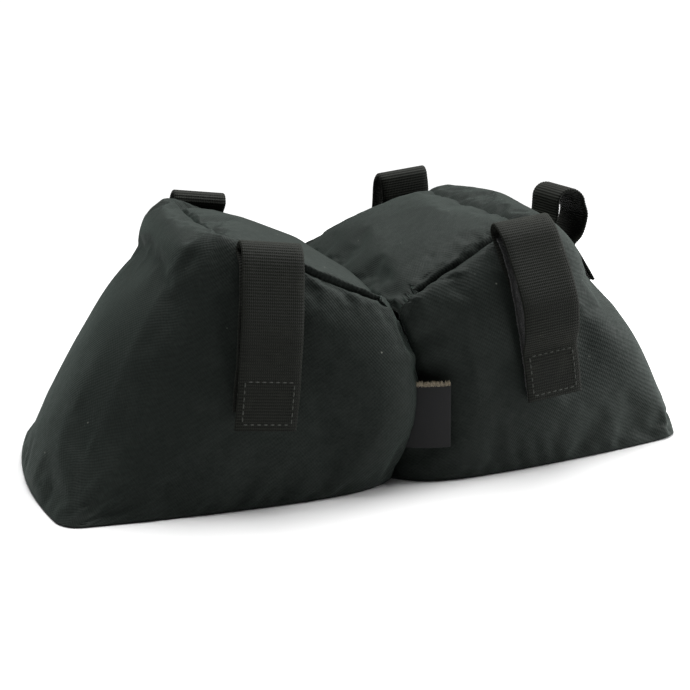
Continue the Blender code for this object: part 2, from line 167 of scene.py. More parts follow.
def waist_bulge(points):
    """The left-hand lobe swells over the front waist seam and pushes it to the right."""
    x, y, z = points[:, 0], points[:, 1], points[:, 2]
    height = np.sin(np.pi * np.clip(z / 78, 0, 1)) * np.clip(-y / 60, 0, 1)
    push = BULGE_PUSH * np.exp(-((x / 26) ** 2)) * height
    swell = BULGE_SWELL * np.exp(-(((x + 13) / 15) ** 2)) * height * np.clip(-x / 5, 0, 1)
    return points + np.stack((push, -swell, 0 * z), -1)


def saddle_net(top):
    """A grid over the saddle panel: i from the valley to the ridge, j from front to back."""
    front, ridge, back = top[: NF + 1], top[NF : NF + NE + 1], top[NF + NE :][::-1]
    s = np.array([p[0] / front[-1][0] for p in front])
    t = np.array([(p[1] - ridge[0][1]) / (ridge[-1][1] - ridge[0][1]) for p in ridge])
    valley = front[0] + (back[0] - front[0]) * t[:, None]
    s, t = s[:, None, None], t[None, :, None]
    sides = (1 - t) * front[:, None] + t * back[:, None] + (1 - s) * valley[None] + s * ridge[None]
    front_corners = (1 - s) * (1 - t) * front[0] + s * (1 - t) * front[-1]
    back_corners = (1 - s) * t * back[0] + s * t * back[-1]
    return sides - front_corners - back_corners, s[:, :, 0], t[:, :, 0]


# ---------------------------------------------------------------- mesh helpers
def mesh_object(name, points_mm, faces):
    mesh = bpy.data.meshes.new(name)
    mesh.from_pydata((np.asarray(points_mm) * MM).tolist(), [], faces)
    mesh.validate()
    mesh.shade_smooth()
    made = bpy.data.objects.new(name, mesh)
    bpy.context.scene.collection.objects.link(made)
    return made


def grid_faces(index, flip=False):
    a, b, c, d = index[:-1, :-1], index[1:, :-1], index[1:, 1:], index[:-1, 1:]
    quads = np.stack((a, d, c, b) if flip else (a, b, c, d), -1).reshape(-1, 4)
    return quads.tolist()


def set_uv(piece, uv, other=None, where=None):
    """Gives each face corner its point's (u, v), in metres, or another where a face is marked."""
    layer = piece.data.uv_layers.new(name="cloth")
    corner = np.zeros(len(piece.data.loops), int)
    piece.data.loops.foreach_get("vertex_index", corner)
    found = np.asarray(uv, float)[corner]
    if other is not None:
        marked = np.repeat(where, 4)
        found[marked] = np.asarray(other, float)[corner][marked]
    layer.data.foreach_set("uv", (found * MM).ravel())


def finer_line(points, times):
    """Catmull-Rom refinement along the first axis."""
    padded = np.concatenate((2 * points[:1] - points[1:2], points, 2 * points[-1:] - points[-2:-1]))
    a, b, c, d = padded[:-3], padded[1:-2], padded[2:-1], padded[3:]
    out = np.empty(((len(points) - 1) * times + 1, *points.shape[1:]))
    for k in range(times):
        t = k / times
        out[k::times][: len(b)] = 0.5 * (
            2 * b + (c - a) * t + (2 * a - 5 * b + 4 * c - d) * t**2 + (3 * b - a - 3 * c + d) * t**3
        )
    out[-1] = points[-1]
    return out


def finer(grid, times):
    return finer_line(finer_line(grid, times).swapaxes(0, 1), times).swapaxes(0, 1)


def run_lengths(grid, axis):
    """Distance along an axis of a grid from its first line."""
    steps = np.linalg.norm(np.diff(grid, axis=axis), axis=-1)
    zero = np.zeros_like(np.take(steps, [0], axis=axis))
    return np.concatenate((zero, np.cumsum(steps, axis=axis)), axis=axis)


def normals_of(grid, flip):
    du = np.gradient(grid, axis=0)
    dv = np.gradient(grid, axis=1)
    n = np.cross(du, dv)
    n /= np.maximum(1e-9, np.linalg.norm(n, axis=-1, keepdims=True))
    return -n if flip else n


def noise_field(points, scale, seed):
    return np.array([noise.noise(Vector(p) / scale + Vector((seed, seed * 0.7, -seed))) for p in points])


# ---------------------------------------------------------------- the filled cover
def dents(points, normals, marks, fade):
    """Adds long soft folds along the normals."""
    offset = np.zeros(len(points))
    for middle, along, length, width, height in marks:
        gap = points - np.array(middle, float)
        way = np.array(along, float)
        way /= np.linalg.norm(way)
        run = gap @ way
        side = np.linalg.norm(gap - run[:, None] * way, axis=1)
        offset += height * np.exp(-((run / length) ** 2) - (side / width) ** 2)
    return points + normals * (offset * fade)[:, None]


def start_cover():
    """One welded sheet for both lobes. Returns its points, faces, pins and the grids of its four panels."""
    points, faces, panels = [], [], {}
    pinned = set()

    def add(grid, known):
        index = np.full(grid.shape[:2], -1, int)
        for key, value in known.items():
            index[key] = value
        for i, j in np.argwhere(index < 0):
            index[i, j] = len(points)
            points.append(grid[i, j])
        return index

    nets = {side: lobe_net(side, ROWS, (FRONT, CORNER, END), 0.0, EASE) for side in (1, -1)}
    nets = {1: necked(nets[1], 6.0, 0.50), -1: necked(nets[-1], 6.0, 0.40)}
    for side in (1, -1):  # both lobes share their waist seams
        nets[side][:, (0, -1)] = nets[1][:, (0, -1)]
    saddle, s, t = saddle_net(nets[1][0])
    slides = {}
    for side, drop in ((1, 0.03), (-1, 0.15)):
        nets[side], slides[side] = lowered_seam(nets[side], drop)
    pillow = np.sqrt(np.clip(1 - np.abs(2 * s - 1) ** 3.2, 0, 1) * np.clip(1 - np.abs(2 * t - 1) ** 4, 0, 1))
    saddle = saddle + pillow[..., None] * PILLOW * np.array((-0.4, 0, 0.917))
    first = {}
    for side, name in ((1, "right"), (-1, "left")):
        flip = side < 0
        wall = nets[side] * (side, 1, 1)
        known = {}
        if first:
            for i in range(ROWS + 1):
                known[(i, 0)] = first["wall"][i, 0]
                known[(i, COLUMNS)] = first["wall"][i, COLUMNS]
        wall_index = add(wall, known)
        known = {}
        for i in range(NF + 1):
            known[(i, 0)] = wall_index[0, i]
            known[(i, NE)] = wall_index[0, COLUMNS - i]
        for j in range(NE + 1):
            known[(NF, j)] = wall_index[0, NF + j]
            if first:
                known[(0, j)] = first["saddle"][0, j]
        from_front = t[0] * 2 * 60
        roll = np.exp(-((from_front / 8) ** 2))[None, :, None] * slides[side][:, None]
        saddle_index = add((saddle + roll) * (side, 1, 1), known)
        faces += grid_faces(wall_index, flip)
        faces += grid_faces(saddle_index, flip)
        pinned |= {*wall_index[0], *wall_index[-1], *wall_index[:, 0], *wall_index[:, -1], *saddle_index[0]}
        panels[f"{name}_wall"] = wall_index
        panels[f"{name}_saddle_panel"] = saddle_index
        first = first or {"wall": wall_index, "saddle": saddle_index}
    return waist_bulge(np.array(points)), faces, sorted(int(i) for i in pinned), panels


def settle(points, faces, pinned):
    """Lets the cloth find its shape over the fill, held along its seams."""
    sheet = mesh_object("settling_cover", points, faces)
    group = sheet.vertex_groups.new(name="seams")
    group.add(pinned, 1.0, "REPLACE")
    cloth = sheet.modifiers.new("cloth", "CLOTH")
    what = cloth.settings
    what.quality = 6
    what.mass = 0.25
    what.tension_stiffness = 60
    what.compression_stiffness = 30
    what.shear_stiffness = 20
    what.bending_stiffness = 2.5
    what.tension_damping = what.compression_damping = what.shear_damping = 12
    what.air_damping = 3
    what.vertex_group_mass = "seams"
    what.pin_stiffness = 1
    what.shrink_min = -0.012
    what.use_pressure = True
    what.uniform_pressure_force = 1.6
    what.effector_weights.gravity = 0
    cloth.collision_settings.use_collision = False
    cloth.point_cache.frame_start = 1
    cloth.point_cache.frame_end = SETTLE_FRAMES
    for step in range(1, SETTLE_FRAMES + 1):
        bpy.context.scene.frame_set(step)
    shape = sheet.evaluated_get(bpy.context.evaluated_depsgraph_get())
    settled = np.zeros(len(points) * 3)
    shape.data.vertices.foreach_get("co", settled)
    bpy.data.objects.remove(sheet)
    bpy.context.scene.frame_set(1)
    return settled.reshape(-1, 3) / MM


# soft folds: middle, direction, half length, half width and height
FOLDS = (
    ((-112, -52, 66), (-0.45, -0.1, -0.9), 16, 7, 1.8),
    ((-120, -58, 40), (0.8, 0, -0.6), 14, 7, -1.6),
    ((-108, -66, 22), (0.75, 0, -0.66), 18, 7, -1.2),
    ((-96, -62, 60), (0.3, 0, -0.95), 20, 8, -1.2),
    ((14, -72, 58), (1, 0, 0.15), 12, 4.5, 1.3),
    ((16, -72, 50), (1, 0, 0.1), 14, 4.5, -1.2),
    ((20, -72, 66), (1, 0, 0.35), 12, 4.5, -0.8),
    ((100, -64, 52), (0.5, 0, -0.86), 20, 8, 1.0),
    ((-76, -47, 97), (0.6, 0.3, -0.7), 9, 3, -1.8),
    ((60, 50, 103), (0.7, 0.4, 0.3), 9, 3.5, -1.5),
)


def inwards(grid, side):
    """The way that a seam is pulled in: to the lobe's heart, but never sideways at the waist."""
    x, y, z = grid[..., 0], grid[..., 1], grid[..., 2]
    sideways = np.clip(np.abs(x) / 20, 0, 1) * (32 * side - x)
    way = np.stack((sideways, -y * np.clip(np.abs(y) / 66, 0, 1) ** 4, 40 - z), -1)
    return way / np.linalg.norm(way, axis=-1, keepdims=True)


def rest_on_liner(points, side, room=1.0):
    """Keeps the cover outside the liner that fills it."""
    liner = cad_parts["right_liner" if side > 0 else "left_liner"]
    corners = [liner.matrix_world @ v.co / MM for v in liner.data.vertices]
    heart = Vector(FILL_HEART) * Vector((side, 1, 1))
    outer = []
    for face in liner.data.polygons:
        a, b, c = [corners[i] for i in face.vertices[:3]]
        if (b - a).cross(c - a).dot(a - heart) > 0:
            outer.append(tuple(face.vertices))
    tree = BVHTree.FromPolygons(corners, outer)
    kept = points.copy()
    for i, point in enumerate(points):
        spot, normal, _index, gap = tree.find_nearest(Vector(point))
        height = (Vector(point) - spot).dot(normal)
        if height < room and gap < 12:
            kept[i] += np.array(normal) * (room - height)
    return kept


def ripple(run, reach, seed):
    """Puckers beside a seam, by the distance along it and away from it: short ones over long ones."""
    short = noise.noise(Vector((run / 5.5, reach / 22, seed)))
    return short + 0.6 * noise.noise(Vector((run / 11, reach / 30, seed + 9)))


def finished_panel(name, grid, side, seams, looks, uv, end_uv=None, at_end=None):
    """Sinks a panel's seams, puckers the cloth beside them and makes its object.

    seams gives each edge whether it is sunk, how much it puckers, and a seed.
    """
    flip = side < 0
    normals = normals_of(grid, flip)
    along_rows = run_lengths(grid, 0)
    along_columns = run_lengths(grid, 1)
    edges = {
        "first_row": along_rows,
        "last_row": along_rows[-1:] - along_rows,
        "first_column": along_columns,
        "last_column": along_columns[:, -1:] - along_columns,
    }
    shape = grid.shape[:2]
    flat = grid.reshape(-1, 3)
    lift = np.zeros(shape)
    for edge, (_sunk, pucker, seed) in seams.items():
        reach = edges[edge]
        running = along_columns if "row" in edge else along_rows
        puckers = np.array([ripple(r, d, seed) for r, d in zip(running.ravel(), reach.ravel())])
        fade = np.exp(-reach / 9) * (1 - np.exp(-((reach / 2.2) ** 2)))
        lift += pucker * puckers.reshape(shape) * fade
    broad = noise_field(flat, 34, 3.1) * 0.9 + noise_field(flat, 15, 7.7) * 0.25
    inner = np.minimum.reduce([edges[e] for e in seams])
    lift += broad.reshape(shape) * (1 - np.exp(-((inner / 14) ** 2)))
    sewn = np.minimum.reduce([edges[e] for e in seams if seams[e][0]])
    sunk = SEAM_DEPTH * np.exp(-((sewn / 1.7) ** 1.3))
    points = (grid + normals * lift[..., None] + inwards(grid, side) * sunk[..., None]).reshape(-1, 3)
    points = dents(points, normals.reshape(-1, 3), FOLDS, 1 - np.exp(-((sewn.ravel() / 4) ** 2)))
    points = rest_on_liner(points, side)
    index = np.arange(len(points)).reshape(shape)
    piece = mesh_object(name + "_cloth", points, grid_faces(index, flip))
    if end_uv is not None:
        end_uv, at_end = end_uv.reshape(-1, 2), at_end.ravel()
    set_uv(piece, uv.reshape(-1, 2), end_uv, at_end)
    piece.data.materials.append(looks)
    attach(piece, "bag")
    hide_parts(name)


def make_cover(cloth):
    points, faces, pinned, panels = start_cover()
    settled = points
    moved = settle(points, faces, pinned) - points
    size = np.linalg.norm(moved, axis=1, keepdims=True)
    settled = points + moved * np.minimum(1, MOST_SETTLED / np.maximum(size, 1e-6))
    for name, index in panels.items():
        side = 1 if name.startswith("right") else -1
        grid = finer(settled[index], FINE)
        if name.endswith("wall"):
            seams = {
                "first_row": (True, 0.9, 1.0 + side),
                "first_column": (True, 0.8, 5.0 + side),
                "last_column": (True, 0.8, 8.0 + side),
                "last_row": (False, 0.5, 13.0 + side),
            }
            down = run_lengths(grid, 0)
            column = np.arange(grid.shape[1] - 1) / FINE
            at_end = np.tile((column >= NF) & (column < NF + NE), (grid.shape[0] - 1, 1))
            uv = np.stack((grid[..., 0], down), -1)
            end_uv = np.stack((grid[..., 1], down), -1)
        else:
            end_uv = at_end = None
            seams = {
                "first_row": (True, 0.8, 21.0),
                "last_row": (True, 0.7, 23.0 + side),
                "first_column": (True, 0.9, 25.0 + side),
                "last_column": (True, 0.9, 28.0 + side),
            }
            uv = np.stack((run_lengths(grid, 0), grid[..., 1]), -1)
        finished_panel(name, grid, side, seams, cloth, uv, end_uv, at_end)


# ---------------------------------------------------------------- materials
class Nodes:
    """Shorthand for a material's nodes."""

    def __init__(self, name, colour, roughness):
        self.material = bpy.data.materials.new(name)
        self.material.use_nodes = True
        self.tree = self.material.node_tree
        self.shader = self.tree.nodes["Principled BSDF"]
        self.shader.inputs["Base Color"].default_value = (*colour, 1)
        self.shader.inputs["Roughness"].default_value = roughness

    def add(self, kind, **values):
        node = self.tree.nodes.new(kind)
        for key, value in values.items():
            setattr(node, key, value)
        return node

    def put(self, socket, value):
        if hasattr(value, "is_output"):
            self.tree.links.new(value, socket)
        else:
            socket.default_value = value

    def math(self, operation, a, b=0.0, clamp=False):
        node = self.add("ShaderNodeMath", operation=operation, use_clamp=clamp)
        self.put(node.inputs[0], a)
        self.put(node.inputs[1], b)
        return node.outputs[0]

    def uv(self):
        node = self.add("ShaderNodeUVMap", uv_map="cloth")
        split = self.add("ShaderNodeSeparateXYZ")
        self.put(split.inputs[0], node.outputs[0])
        return node.outputs[0], split.outputs[0], split.outputs[1]

    def place(self):
        return self.add("ShaderNodeTexCoord").outputs["Object"]

    def noise(self, at, scale, detail=3.0, rough=0.55):
        node = self.add("ShaderNodeTexNoise")
        self.put(node.inputs["Vector"], at)
        node.inputs["Scale"].default_value = scale
        node.inputs["Detail"].default_value = detail
        node.inputs["Roughness"].default_value = rough
        return node.outputs[0]

    def spread(self, value, low, high, to_low=0.0, to_high=1.0):
        node = self.add("ShaderNodeMapRange")
        self.put(node.inputs["Value"], value)
        for socket, number in zip(node.inputs[1:5], (low, high, to_low, to_high)):
            socket.default_value = number
        return node.outputs[0]

    def blend(self, share, a, b):
        node = self.add("ShaderNodeMix", data_type="RGBA", blend_type="MIX")
        self.put(node.inputs[0], share)
        self.put(node.inputs[6], a if hasattr(a, "is_output") else (*a, 1))
        self.put(node.inputs[7], b if hasattr(b, "is_output") else (*b, 1))
        return node.outputs[2]

    def bump(self, height, distance, strength):
        node = self.add("ShaderNodeBump")
        node.inputs["Strength"].default_value = strength
        node.inputs["Distance"].default_value = distance
        self.put(node.inputs["Height"], height)
        return node.outputs[0]

    def finish(self, colour=None, rough=None, normal=None):
        for socket, value in (("Base Color", colour), ("Roughness", rough), ("Normal", normal)):
            if value is not None:
                self.put(self.shader.inputs[socket], value)
        return self.material


def wave(n, value, pitch):
    """A sine along a length, with its period in metres."""
    return n.math("SINE", n.math("MULTIPLY", value, 2 * math.pi / pitch))


def lint(n, at):
    """Sparse pale specks of lint."""
    cells = n.add("ShaderNodeTexVoronoi", feature="F1")
    n.put(cells.inputs["Vector"], at)
    cells.inputs["Scale"].default_value = 190
    speck = n.spread(cells.outputs["Distance"], 0.10, 0.04)
    pick = n.spread(n.noise(at, 140, 0), 0.70, 0.74)
    return n.math("MULTIPLY", speck, pick, clamp=True)


def cover_material():
    n = Nodes("cover_cloth", (0.024, 0.029, 0.026), 0.8)
    uv, u, v = n.uv()
    at = n.place()
    pitch = 0.00165
    slub = n.math("MULTIPLY", n.math("SUBTRACT", n.noise(uv, 420, 2), 0.5), 0.0007)
    weave = n.math("MULTIPLY", wave(n, n.math("ADD", u, slub), pitch), wave(n, n.math("ADD", v, slub), pitch))
    height = n.math("ADD", n.math("MULTIPLY", weave, 0.5), n.math("MULTIPLY", n.noise(uv, 2600, 2), 0.5))
    cloudy = n.spread(n.noise(at, 22, 4), 0.3, 0.7)
    thread = n.spread(n.noise(uv, 900, 2), 0.3, 0.7)
    dark = n.blend(cloudy, (0.0070, 0.0112, 0.0088), (0.0115, 0.0165, 0.0135))
    # painted shade: the cloth is darker in the weave's hollows, keyed to the same weave height as the bump
    shown = n.blend(n.spread(weave, -0.6, 0.9), n.blend(0.6, dark, (0.003, 0.004, 0.0035)), dark)
    shown = n.blend(n.math("MULTIPLY", thread, 0.22), shown, (0.030, 0.036, 0.032))
    dusty = n.math("MULTIPLY", n.spread(n.noise(at, 60, 5, 0.65), 0.52, 0.75), 0.16)
    shown = n.blend(dusty, shown, (0.050, 0.058, 0.052))
    shown = n.blend(n.math("MULTIPLY", lint(n, at), 0.5), shown, (0.30, 0.31, 0.27))
    rough = n.spread(n.noise(at, 300, 3), 0.2, 0.8, 0.66, 0.88)
    n.shader.inputs["Sheen Weight"].default_value = 0.06
    n.shader.inputs["Sheen Roughness"].default_value = 0.45
    n.shader.inputs["Sheen Tint"].default_value = (0.75, 1.0, 0.88, 1)
    n.shader.inputs["Specular IOR Level"].default_value = 0.2
    return n.finish(shown, rough, n.bump(height, 0.00016, 0.8))


def webbing_material():
    n = Nodes("webbing", (0.024, 0.0245, 0.021), 0.75)
    uv, u, v = n.uv()
    at = n.place()
    rib = wave(n, v, RIB * MM)
    warp = wave(n, n.math("ADD", u, n.math("MULTIPLY", rib, 0.00012)), 0.00085)
    height = n.math("ADD", n.math("MULTIPLY", warp, 0.35), n.noise(uv, 2400, 2))
    cloudy = n.spread(n.noise(at, 45, 4), 0.3, 0.7)
    dark = n.blend(cloudy, (0.0058, 0.0075, 0.0052), (0.0092, 0.0110, 0.0080))
    # painted shade: the webbing is darker in its rib grooves, where the rib wave is low
    shown = n.blend(n.spread(rib, -0.9, 0.5), n.blend(0.85, dark, (0.0015, 0.0015, 0.0012)), dark)
    # painted highlight: lighter on the crowns of the warp threads, where the warp wave is high
    shown = n.blend(n.math("MULTIPLY", n.spread(warp, 0.2, 1.0), 0.25), shown, (0.030, 0.032, 0.026))
    worn = n.math("MULTIPLY", n.spread(n.noise(at, 90, 5, 0.7), 0.55, 0.8), 0.20)
    shown = n.blend(worn, shown, (0.060, 0.062, 0.052))
    n.shader.inputs["Specular IOR Level"].default_value = 0.16
    shown = n.blend(n.math("MULTIPLY", lint(n, at), 0.4), shown, (0.2, 0.2, 0.18))
    n.shader.inputs["Sheen Weight"].default_value = 0.03
    n.shader.inputs["Sheen Tint"].default_value = (0.95, 1.0, 0.80, 1)
    return n.finish(shown, n.spread(cloudy, 0, 1, 0.62, 0.78), n.bump(height, 0.00012, 0.8))


def fuzzy_material(name, colour, light, scale):
    n = Nodes(name, colour, 0.95)
    at = n.place()
    fuzz = n.noise(at, scale, 5, 0.7)
    shown = n.blend(n.spread(fuzz, 0.45, 0.72), colour, light)
    n.shader.inputs["Sheen Weight"].default_value = 0.25
    return n.finish(shown, None, n.bump(fuzz, 0.0006, 1.0))


def thread_material():
    n = Nodes("thread", (0.075, 0.082, 0.068), 0.6)
    at = n.place()
    shown = n.blend(n.noise(at, 260, 3), (0.010, 0.012, 0.009), (0.055, 0.060, 0.050))
    return n.finish(shown, None, n.bump(n.noise(at, 5000, 2), 0.0001, 0.5))


def label_material():
    n = Nodes("label_cloth", (0.012, 0.012, 0.013), 0.5)
    _uv, u, v = n.uv()
    twill = wave(n, n.math("ADD", u, n.math("MULTIPLY", v, 0.5)), 0.0005)
    rows = wave(n, v, 0.00035)
    height = n.math("ADD", n.math("MULTIPLY", twill, 0.6), rows)
    dusty = n.spread(n.noise(n.place(), 260, 4), 0.5, 0.8)
    # painted shade and highlight: darker in the twill's hollows and lighter on its ridges, keyed to the twill
    # height
    shown = n.blend(n.spread(twill, -0.5, 1.0), (0.008, 0.008, 0.009), (0.017, 0.0175, 0.018))
    shown = n.blend(n.math("MULTIPLY", dusty, 0.08), shown, (0.04, 0.04, 0.036))
    n.shader.inputs["Specular IOR Level"].default_value = 0.2
    return n.finish(shown, 0.6, n.bump(height, 0.00006, 0.6))


def plain_cloth_material(name, colour, pitch):
    n = Nodes(name, colour, 0.85)
    at = n.place()
    split = n.add("ShaderNodeSeparateXYZ")
    n.put(split.inputs[0], at)
    weave = n.math("MULTIPLY", wave(n, split.outputs[0], pitch), wave(n, split.outputs[1], pitch))
    shown = n.blend(n.noise(at, 80, 4), [c * 0.8 for c in colour], [min(1, c * 1.2) for c in colour])
    return n.finish(shown, None, n.bump(weave, 0.0001, 0.7))


def sand_material():
    n = Nodes("sand", (0.45, 0.36, 0.24), 1.0)
    at = n.place()
    grain = n.add("ShaderNodeTexVoronoi")
    n.put(grain.inputs["Vector"], at)
    grain.inputs["Scale"].default_value = 1400
    shown = n.blend(grain.outputs["Color"], (0.33, 0.25, 0.15), (0.58, 0.48, 0.34))
    return n.finish(shown, None, n.bump(grain.outputs["Distance"], 0.0004, 0.8))


def metal_material():
    n = Nodes("zip_metal", (0.03, 0.03, 0.032), 0.35)
    at = n.place()
    wear = n.spread(n.noise(at, 900, 4, 0.7), 0.6, 0.72)
    shown = n.blend(wear, (0.022, 0.022, 0.024), (0.16, 0.155, 0.15))
    n.shader.inputs["Metallic"].default_value = 0.7
    return n.finish(shown, n.spread(n.noise(at, 500, 3), 0.3, 0.7, 0.28, 0.5), n.bump(wear, 0.00005, 0.3))


def floor_material():
    n = Nodes("floor", (0.80, 0.80, 0.80), 0.7)
    n.shader.inputs["Specular IOR Level"].default_value = 0.2
    return n.material


# ---------------------------------------------------------------- lines of the straps
def vec(x, y):
    return np.array((x, y), float)


def unit(v):
    return v / max(1e-12, np.linalg.norm(v))


def shifted(line, amount):
    moved = []
    for i, point in enumerate(line):
        into = unit(point - line[i - 1]) if i else unit(line[1] - point)
        out = unit(line[i + 1] - point) if i < len(line) - 1 else into
        tangent = unit(into + out)
        moved.append(point + vec(-tangent[1], tangent[0]) * amount / max(0.6, tangent @ into))
    return moved


def resample(middle, spacing, length=None):
    steps = [np.linalg.norm(b - a) for a, b in zip(middle, middle[1:])]
    total = min(sum(steps), length or sum(steps))
    count = max(2, round(total / spacing))
    points = []
    for i in range(count + 1):
        want = total * i / count
        for a, b, step in zip(middle, middle[1:], steps):
            if want <= step + 1e-6:
                points.append(mix(a, b, min(1, want / step)))
                break
            want -= step
    return points


def soft_line(points):
    ends = [points[0] * 2 - points[1], *points, points[-1] * 2 - points[-2]]
    line = [points[0]]
    for a, b, c, d in zip(ends, ends[1:], ends[2:], ends[3:]):
        for i in range(1, 7):
            t = i / 6
            curve = (2 * a - 5 * b + 4 * c - d) * t**2 + (3 * b - a - 3 * c + d) * t**3
            line.append(0.5 * (2 * b + (c - a) * t + curve))
    return line


class Lay:
    """The plane that a strap is drawn in: its hinge's middle, the way out of the bag, and the way up."""

    def __init__(self, middle, out, up):
        self.middle = np.array(middle, float)
        self.out = unit(np.array(out, float))
        self.up = unit(np.array(up, float))
        self.across = np.cross(self.out, self.up)

    def world(self, out, up, across):
        return self.middle + self.out * out + self.up * up + self.across * across


FINE_NETS = {side: lobe_net(side, 36, (48, 8, 32), 1.2) * (side, 1, 1) for side in (1, -1)}


def taut_over(lay, side, half_width, clearance):
    gap = FINE_NETS[side].reshape(-1, 3) - lay.middle
    near = np.abs(gap @ lay.across) <= half_width + 1e-9
    spots = sorted(zip((gap @ lay.up)[near], (gap @ lay.out)[near]))
    chain = []
    for up, out in spots:
        while len(chain) > 1:
            (up_a, out_a), (up_b, out_b) = chain[-2:]
            if (up_b - up_a) * (out - out_a) - (out_b - out_a) * (up - up_a) < 0:
                break
            chain.pop()
        chain.append((up, out))
    return shifted([vec(out, up) for up, out in reversed(chain)], clearance)


def loop_lines(lay, side, fold, swell, cling, bare=8.0, riser=None):
    """The middle lines of the sewn strap, its pile, the hook patch and the flap, from the top down."""
    lying = taut_over(lay, side, WEBBING_WIDTH / 2 + 1, GAP + WEBBING / 2 + 0.3)
    angles = [math.pi * i / 8 for i in range(9)]
    arc = [vec(fold * math.cos(a), fold * math.sin(a)) for a in angles]
    if riser is None:
        start = next(i for i, p in enumerate(lying) if p[0] > -fold)
        foot = vec(-fold, min(lying[0][1], lying[start][1]) + 0.2)
        sewn = [arc[-1], foot, *lying[start:]]
    else:
        riser = [np.array(p, float) for p in riser]
        sewn = [arc[-1], *riser, *[p for p in lying if p[1] < riser[-1][1] - 2]]
    down = resample(sewn, 5, STRAP_DROP + 8)
    hanging = [p for p in down if p[1] < down[0][1] - bare]
    pile = shifted(hanging[1:], WEBBING / 2 + GAP + PILE / 2)
    hook_line = shifted(hanging, WEBBING / 2 + 2 * GAP + PILE + HOOK / 2)
    flap_line = shifted(hanging, WEBBING + 3 * GAP + PILE + HOOK)
    at = next(i for i, p in enumerate(hanging) if p[1] < -cling)
    hook = resample(hook_line[at:], 4, HOOK_LENGTH)
    root = vec(fold + WEBBING + GAP, 0)
    guides = [root, *[np.array(p, float) for p in swell], flap_line[at]]
    tail = resample(flap_line[at:], 4, HOOK_LENGTH + 1)
    flap = [*resample(soft_line(guides), 5), *tail[1:]]
    return down, pile, hook, flap


# ---------------------------------------------------------------- straps
def smooth_line(line, spacing):
    """An even, rounded line through a strap's points."""
    fine = finer_line(np.array(line), 8)
    return np.array(resample(list(fine), spacing))


def cross_section(width, thickness, flats=9):
    """Points round a flat strip's section, with soft edges: (across, out)."""
    half, r = width / 2, thickness / 2
    turns = np.linspace(0, math.pi, 5)[1:-1]
    points = [(x, r) for x in np.linspace(-half + r, half - r, flats)]
    points += [(half - r + r * math.sin(a), r * math.cos(a)) for a in turns]
    points += [(x, -r) for x in np.linspace(half - r, -half + r, flats)]
    points += [(-half + r - r * math.sin(a), -r * math.cos(a)) for a in turns]
    return np.array(points)


def run_along(line):
    """Distance along a line from its first point."""
    return np.concatenate(([0], np.cumsum(np.linalg.norm(np.diff(line, axis=0), axis=1))))


def line_normals(line):
    tangent = np.gradient(line, axis=0)
    tangent /= np.linalg.norm(tangent, axis=1, keepdims=True)
    return np.stack((-tangent[:, 1], tangent[:, 0]), 1)


def tube_faces(count, around, caps):
    """Quads between rings of points, with a cap at either end if asked for."""
    index = np.arange(count * around).reshape(count, around)
    faces = grid_faces(np.concatenate((index, index[:, :1]), axis=1))
    if caps[0]:
        faces.append(list(range(around)))
    if caps[1]:
        faces.append(list(range((count - 1) * around, count * around))[::-1])
    return faces


def webbing_strip(name, lay, line, looks, start, caps, seed):
    """Woven webbing along a line of (out, up) points, with real ribs across it and uneven edges."""
    section = cross_section(WEBBING_WIDTH, WEBBING)
    normal = line_normals(line)
    run = start + run_along(line)
    wave_at = np.cos(2 * np.pi * run / RIB)
    sway = np.array([noise.noise(Vector((r / 14, seed, 0))) for r in run]) * EDGE_SWAY
    points, uv = [], []
    for k in range(len(line)):
        for across, out in section:
            flat = line[k] + normal[k] * out * (1 + RIB_DEPTH * wave_at[k])
            at_edge = abs(out) < WEBBING * 0.4
            x = across + sway[k] + (0.12 * EDGE_SWAY * wave_at[k] if at_edge else 0)
            points.append(lay.world(flat[0], flat[1], x))
            uv.append((across + (40 if out < 0 else 0), run[k]))
    piece = mesh_object(name, points, tube_faces(len(line), len(section), caps))
    fix_facing(piece)
    set_uv(piece, uv)
    piece.data.set_sharp_from_angle(angle=math.radians(60))
    piece.data.materials.append(looks)
    return piece


def fix_facing(piece):
    """Turns the faces outwards."""
    bm = bmesh.new()
    bm.from_mesh(piece.data)
    bmesh.ops.recalc_face_normals(bm, faces=bm.faces)
    bm.to_mesh(piece.data)
    bm.free()


def stitch_line(points, normals):
    """Capsule-like stitches set along a 3-D line; returns points and faces."""
    steps = np.linalg.norm(np.diff(points, axis=0), axis=1)
    run = np.concatenate(([0], np.cumsum(steps)))
    made, faces = [], []
    rings, around = 5, 6
    at = STITCH_PITCH / 2
    while at + STITCH_LENGTH / 2 < run[-1]:
        middle = np.array([np.interp(at, run, points[:, k]) for k in range(3)])
        ahead = np.array([np.interp(at + 0.3, run, points[:, k]) for k in range(3)])
        up = unit(np.array([np.interp(at, run, normals[:, k]) for k in range(3)]))
        way = unit(ahead - middle)
        side = np.cross(way, up)
        base = len(made)
        for i in range(rings):
            share = i / (rings - 1) * 2 - 1
            girth = math.sqrt(max(0.05, 1 - share * share))
            sink = -0.18 * share * share
            for j in range(around):
                a = 2 * math.pi * j / around
                made.append(
                    middle
                    + way * share * STITCH_LENGTH / 2
                    + side * math.cos(a) * STITCH_WIDTH / 2 * girth
                    + up * (math.sin(a) * STITCH_HEIGHT / 2 * girth + sink)
                )
        for i in range(rings - 1):
            for j in range(around):
                k = (j + 1) % around
                a, b = base + i * around, base + (i + 1) * around
                faces.append([a + j, a + k, b + k, b + j])
        faces.append([base + j for j in range(around)][::-1])
        faces.append([base + (rings - 1) * around + j for j in range(around)])
        at += STITCH_PITCH
    return made, faces


def stitches(name, runs, looks):
    points, faces = [], []
    for line, normals in runs:
        more, more_faces = stitch_line(line, normals)
        faces += [[i + len(points) for i in f] for f in more_faces]
        points += more
    piece = mesh_object(name, points, faces)
    fix_facing(piece)
    piece.data.materials.append(looks)
    return piece


